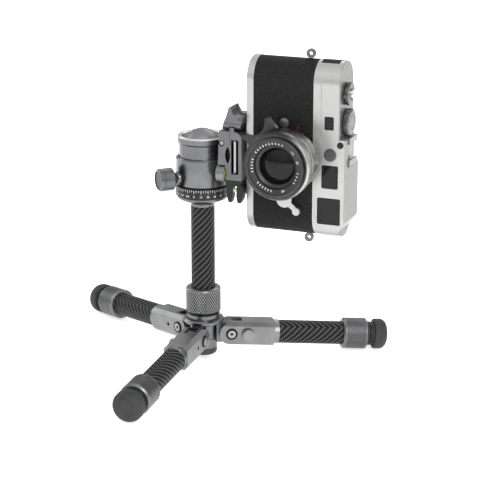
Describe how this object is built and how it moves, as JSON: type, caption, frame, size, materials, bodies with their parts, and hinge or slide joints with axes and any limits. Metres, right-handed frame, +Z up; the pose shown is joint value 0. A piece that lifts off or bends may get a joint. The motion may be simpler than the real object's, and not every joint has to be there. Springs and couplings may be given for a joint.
{
  "type": "film camera on tripod",
  "caption": "Compact film camera with a short lens, held sideways by a quick-release clamp on a ball head over a low three-legged folding stand.",
  "frame": {"origin": "middle of the part's box at floor level", "axes": "+Z up along the centre column, -Y the way the lens looks, +X from the column to the camera"},
  "size_m": [0.2742, 0.2396, 0.2641],
  "materials": {
    "hub": "satin grey anodised",
    "bottom_cap": "matt",
    "leg_pivot_bolts": "dark",
    "leg_block": "satin grey anodised",
    "carbon_tube": "carbon weave, clear coated",
    "leg_button": "satin",
    "twist_collar": "knurled",
    "leg_extension": "satin",
    "leg_foot": "matt",
    "column_collar": "knurled",
    "column_tube": "carbon weave, clear coated",
    "pan_base": "satin grey anodised",
    "scale_ring": "black anodised with a white scale",
    "head_housing": "satin grey anodised",
    "top_ring": "satin grey anodised",
    "main_knob": "knurled",
    "pan_knob": "knurled",
    "ball": "polished grey",
    "clamp_neck": "satin",
    "clamp_body": "satin grey anodised",
    "bubble_level": "clear green",
    "clamp_jaw": "satin grey anodised",
    "clamp_lever": "satin grey anodised",
    "camera_plate": "satin dark anodised",
    "chassis": "matt black inside",
    "body_wrap": "fine grain black",
    "base_plate": "satin silver chrome",
    "top_plate": "satin silver chrome",
    "accessory_shoe": "brushed",
    "window_glasses": "dark glass look",
    "front_badge": "plain dark cap",
    "lens_flange": "polished",
    "strap_lugs": "satin",
    "film_cassette": "plain, no print",
    "shutter_blind": "matt black",
    "takeup_spool": "black",
    "back_door": "fine grain black",
    "pressure_plate": "black, smooth",
    "release_button": "polished",
    "drive_collar": "satin",
    "speed_dial": "satin with a knurled edge",
    "frame_lever": "polished",
    "lens_release": "polished",
    "focus_ring": "black anodised, knurled edge",
    "lens_barrel": "black anodised",
    "aperture_ring": "black anodised with a scale",
    "name_ring": "black, plain",
    "lens_glass": "coated glass look"
  },
  "bodies": {
    "hub": {"hub": "hub", "bottom_cap": "bottom_cap", "leg_pivot_bolts": "leg_pivot_bolts"},
    "column_collar": {"column_collar": "column_collar"},
    "column": {"column_tube": "column_tube", "pan_base": "pan_base", "scale_ring": "scale_ring"},
    "head": {"head_housing": "head_housing", "top_ring": "top_ring"},
    "main_knob": {"main_knob": "main_knob"},
    "pan_knob": {"pan_knob": "pan_knob"},
    "ball": {"ball": "ball"},
    "clamp": {"clamp_neck": "clamp_neck", "clamp_body": "clamp_body", "bubble_level": "bubble_level"},
    "clamp_jaw": {"clamp_jaw": "clamp_jaw"},
    "clamp_lever": {"clamp_lever": "clamp_lever"},
    "camera": {"camera_plate": "camera_plate", "chassis": "chassis", "body_wrap": "body_wrap", "base_plate": "base_plate", "top_plate": "top_plate", "accessory_shoe": "accessory_shoe", "window_glasses": "window_glasses", "front_badge": "front_badge", "lens_flange": "lens_flange", "strap_lugs": "strap_lugs", "film_cassette": "film_cassette"},
    "shutter_blind": {"shutter_blind": "shutter_blind"},
    "takeup_spool": {"takeup_spool": "takeup_spool"},
    "back_door": {"back_door": "back_door", "pressure_plate": "pressure_plate"},
    "release_button": {"release_button": "release_button"},
    "drive_collar": {"drive_collar": "drive_collar"},
    "speed_dial": {"speed_dial": "speed_dial"},
    "frame_lever": {"frame_lever": "frame_lever"},
    "lens_release": {"lens_release": "lens_release"},
    "focus_ring": {"focus_ring": "focus_ring"},
    "lens_barrel": {"lens_barrel": "lens_barrel", "name_ring": "name_ring", "lens_glass": "lens_glass"},
    "aperture_ring": {"aperture_ring": "aperture_ring"},
    "right_leg": {"right_leg_block": "leg_block", "right_leg_tube": "carbon_tube"},
    "right_leg_button": {"right_leg_button": "leg_button"},
    "right_leg_collar": {"right_leg_collar": "twist_collar"},
    "right_leg_extension": {"right_leg_extension": "leg_extension", "right_leg_foot": "leg_foot"},
    "left_leg": {"left_leg_block": "leg_block", "left_leg_tube": "carbon_tube"},
    "left_leg_button": {"left_leg_button": "leg_button"},
    "left_leg_collar": {"left_leg_collar": "twist_collar"},
    "left_leg_extension": {"left_leg_extension": "leg_extension", "left_leg_foot": "leg_foot"},
    "front_leg": {"front_leg_block": "leg_block", "front_leg_tube": "carbon_tube"},
    "front_leg_button": {"front_leg_button": "leg_button"},
    "front_leg_collar": {"front_leg_collar": "twist_collar"},
    "front_leg_extension": {"front_leg_extension": "leg_extension", "front_leg_foot": "leg_foot"}
  },
  "joints": [
    {"name": "column_lock", "type": "hinge", "parent": "hub", "child": "column_collar", "pos_m": [0, 0.03434, 0.05], "axis": [0, 0, 1], "range_deg": [0, 90]},
    {"name": "column_height", "type": "slide", "parent": "hub", "child": "column", "axis": [0, 0, 1], "range_m": [0, 0.035]},
    {"name": "head_pan", "type": "hinge", "parent": "column", "child": "head", "pos_m": [0, 0.03434, 0.15], "axis": [0, 0, 1], "continuous": true},
    {"name": "main_lock", "type": "hinge", "parent": "head", "child": "main_knob", "pos_m": [0, 0.06434, 0.16], "axis": [0, 1, 0], "range_deg": [0, 270]},
    {"name": "pan_lock", "type": "hinge", "parent": "head", "child": "pan_knob", "pos_m": [-0.0212, 0.01314, 0.155], "axis": [-0.7071, -0.7071, 0], "range_deg": [0, 270]},
    {"name": "ball_tilt", "type": "hinge", "parent": "head", "child": "ball", "pos_m": [0, 0.03434, 0.1792], "axis": [0, -1, 0], "range_deg": [0, 125]},
    {"name": "ball_spin", "type": "hinge", "parent": "ball", "child": "clamp", "pos_m": [0.022, 0.03434, 0.1792], "axis": [1, 0, 0], "continuous": true},
    {"name": "clamp_lever_open", "type": "hinge", "parent": "clamp", "child": "clamp_lever", "pos_m": [0.035, 0.02934, 0.2055], "axis": [-1, 0, 0], "range_deg": [0, 90]},
    {"name": "clamp_jaw_open", "type": "slide", "parent": "clamp", "child": "clamp_jaw", "axis": [0, -1, 0], "range_m": [0, 0.0024]},
    {"name": "camera_in_clamp", "type": "slide", "parent": "clamp", "child": "camera", "axis": [0, 0, 1], "range_m": [-0.012, 0]},
    {"name": "shutter_run", "type": "slide", "parent": "camera", "child": "shutter_blind", "axis": [0, 0, 1], "range_m": [0, 0.036]},
    {"name": "spool_turn", "type": "hinge", "parent": "camera", "child": "takeup_spool", "pos_m": [0.075, 0.03434, 0.2396], "axis": [1, 0, 0], "continuous": true},
    {"name": "door_open", "type": "hinge", "parent": "camera", "child": "back_door", "pos_m": [0.075, 0.04952, 0.23752], "axis": [1, 0, 0], "range_deg": [0, 100]},
    {"name": "release_press", "type": "slide", "parent": "camera", "child": "release_button", "axis": [-1, 0, 0], "range_m": [0, 0.0012], "stiffness_N_per_m": 400, "springref_m": -0.001},
    {"name": "drive_select", "type": "hinge", "parent": "camera", "child": "drive_collar", "pos_m": [0.122, 0.03434, 0.2312], "axis": [-1, 0, 0], "range_deg": [0, 60]},
    {"name": "speed_select", "type": "hinge", "parent": "camera", "child": "speed_dial", "pos_m": [0.122, 0.03434, 0.2091], "axis": [1, 0, 0], "continuous": true},
    {"name": "frame_select", "type": "hinge", "parent": "camera", "child": "frame_lever", "pos_m": [0.077, 0.01434, 0.148], "axis": [0, 1, 0], "range_deg": [-25, 25], "stiffness_Nm_per_rad": 0.05},
    {"name": "lens_unlock", "type": "slide", "parent": "camera", "child": "lens_release", "axis": [0, 1, 0], "range_m": [0, 0.0015], "stiffness_N_per_m": 400, "springref_m": -0.001},
    {"name": "focus_turn", "type": "hinge", "parent": "camera", "child": "focus_ring", "pos_m": [0.08, 0.00634, 0.1808], "axis": [0, 1, 0], "range_deg": [0, 90]},
    {"name": "focus_travel", "type": "slide", "parent": "camera", "child": "lens_barrel", "axis": [0, -1, 0], "range_m": [0, 0.0018]},
    {"name": "aperture_turn", "type": "hinge", "parent": "lens_barrel", "child": "aperture_ring", "pos_m": [0.08, -0.00866, 0.1808], "axis": [0, 1, 0], "range_deg": [0, 75]},
    {"name": "right_leg_fold", "type": "hinge", "parent": "hub", "child": "right_leg", "pos_m": [0.01905, 0.04534, 0.0223], "axis": [-0.5, 0.866, 0], "range_deg": [0, 80]},
    {"name": "right_leg_unlock", "type": "slide", "parent": "right_leg", "child": "right_leg_button", "axis": [-0.5, 0.866, 0], "range_m": [0, 0.0015], "stiffness_N_per_m": 400, "springref_m": -0.001},
    {"name": "right_leg_twist", "type": "hinge", "parent": "right_leg", "child": "right_leg_collar", "pos_m": [0.10885, 0.09718, 0.01419], "axis": [0.8634, 0.4985, -0.0779], "range_deg": [0, 90]},
    {"name": "right_leg_length", "type": "slide", "parent": "right_leg", "child": "right_leg_extension", "axis": [0.8634, 0.4985, -0.0779], "range_m": [0, 0.045]},
    {"name": "left_leg_fold", "type": "hinge", "parent": "hub", "child": "left_leg", "pos_m": [-0.01905, 0.04534, 0.0223], "axis": [-0.5, -0.866, 0], "range_deg": [0, 80]},
    {"name": "left_leg_unlock", "type": "slide", "parent": "left_leg", "child": "left_leg_button", "axis": [-0.5, -0.866, 0], "range_m": [0, 0.0015], "stiffness_N_per_m": 400, "springref_m": -0.001},
    {"name": "left_leg_twist", "type": "hinge", "parent": "left_leg", "child": "left_leg_collar", "pos_m": [-0.10885, 0.09718, 0.01419], "axis": [-0.8634, 0.4985, -0.0779], "range_deg": [0, 90]},
    {"name": "left_leg_length", "type": "slide", "parent": "left_leg", "child": "left_leg_extension", "axis": [-0.8634, 0.4985, -0.0779], "range_m": [0, 0.045]},
    {"name": "front_leg_fold", "type": "hinge", "parent": "hub", "child": "front_leg", "pos_m": [0, 0.01234, 0.0223], "axis": [1, 0, 0], "range_deg": [0, 80]},
    {"name": "front_leg_unlock", "type": "slide", "parent": "front_leg", "child": "front_leg_button", "axis": [1, 0, 0], "range_m": [0, 0.0015], "stiffness_N_per_m": 400, "springref_m": -0.001},
    {"name": "front_leg_twist", "type": "hinge", "parent": "front_leg", "child": "front_leg_collar", "pos_m": [0, -0.09134, 0.01419], "axis": [0, -0.997, -0.0779], "range_deg": [0, 90]},
    {"name": "front_leg_length", "type": "slide", "parent": "front_leg", "child": "front_leg_extension", "axis": [0, -0.997, -0.0779], "range_m": [0, 0.045]}
  ],
  "couplings": [
    {"joint": "clamp_lever_open", "follows": "clamp_jaw_open", "rad_per_m": 653.84},
    {"joint": "focus_turn", "follows": "focus_travel", "rad_per_m": 871.79}
  ]
}
